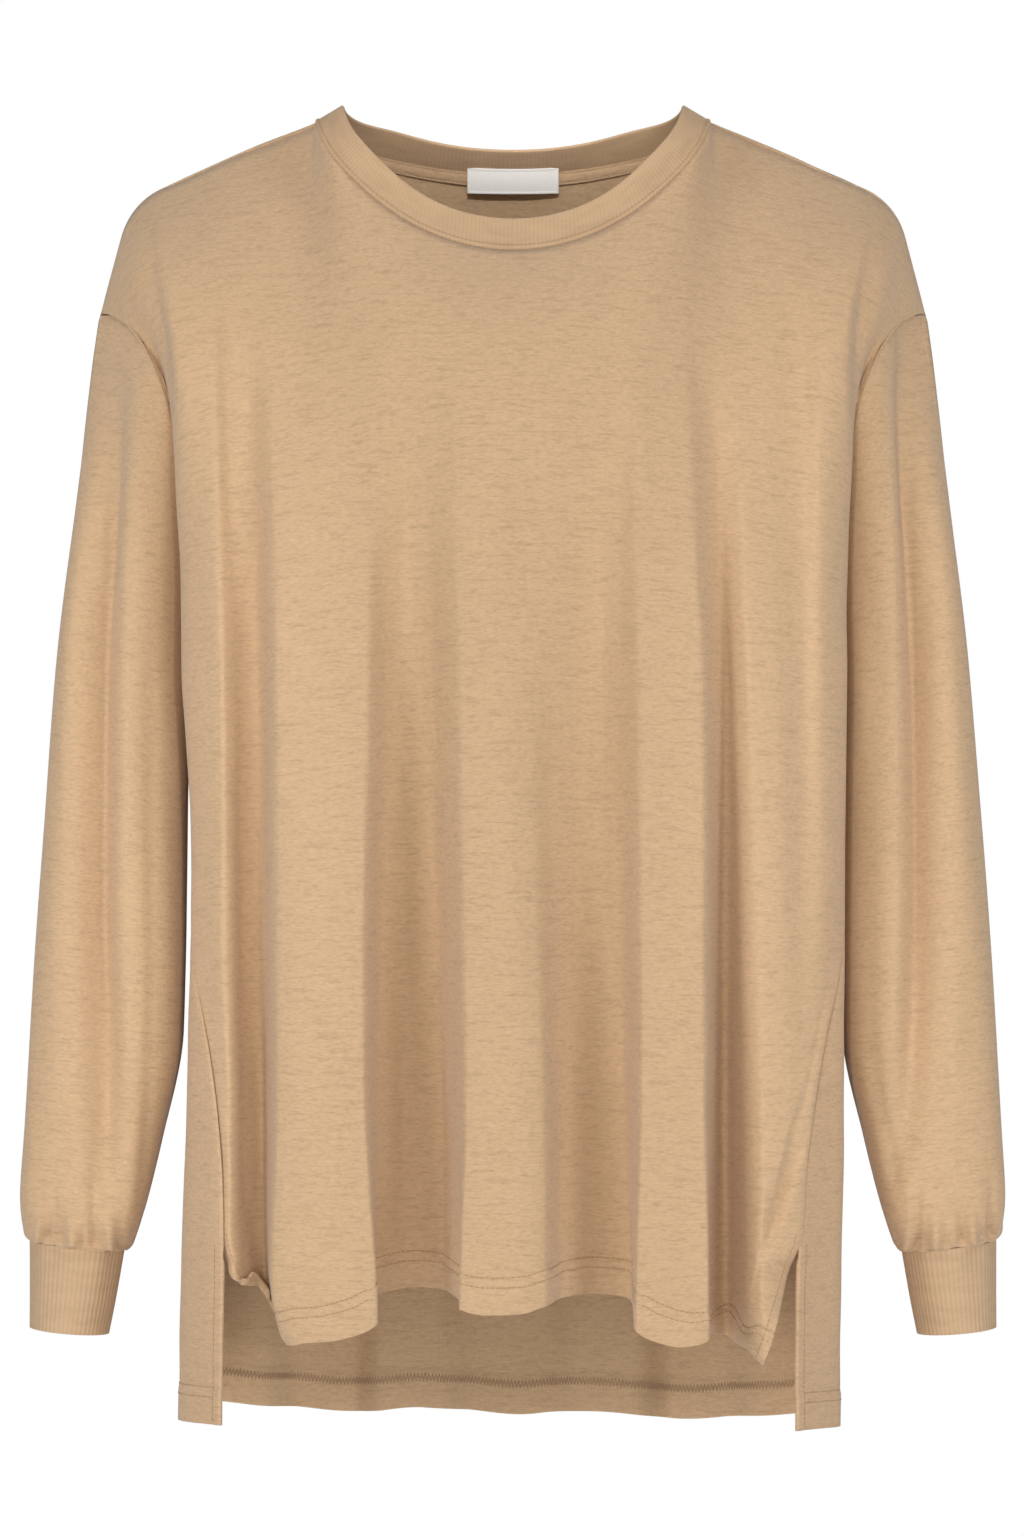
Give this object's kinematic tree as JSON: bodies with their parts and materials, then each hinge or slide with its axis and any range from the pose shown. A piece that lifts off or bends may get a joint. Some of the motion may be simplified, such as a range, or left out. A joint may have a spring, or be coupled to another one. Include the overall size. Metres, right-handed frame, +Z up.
{
  "type": "t-shirt",
  "caption": "Long-sleeved loose jersey T-shirt with a rib crew neck, rib cuffs, dropped shoulders, side slits and a longer back, filled out as if worn.",
  "frame": {"origin": "between the wearer's shoulders: halfway between the neck ends of the two shoulder seams, level with them", "axes": "+Z up, -Y out of the wearer's chest, +X towards the wearer's left"},
  "size_m": [0.5764, 0.2512, 0.7904],
  "materials": {
    "jersey": "soft matt slub jersey, tan",
    "rib": "matt rib knit, tan",
    "label": "smooth woven label, off-white"
  },
  "bodies": {
    "root": {"front": "jersey", "back": "jersey", "sleeve_left": "jersey", "sleeve_right": "jersey", "cuff_left": "rib", "cuff_right": "rib", "neck_rib": "rib", "neck_tape": "jersey", "neck_label": "label"}
  },
  "joints": []
}
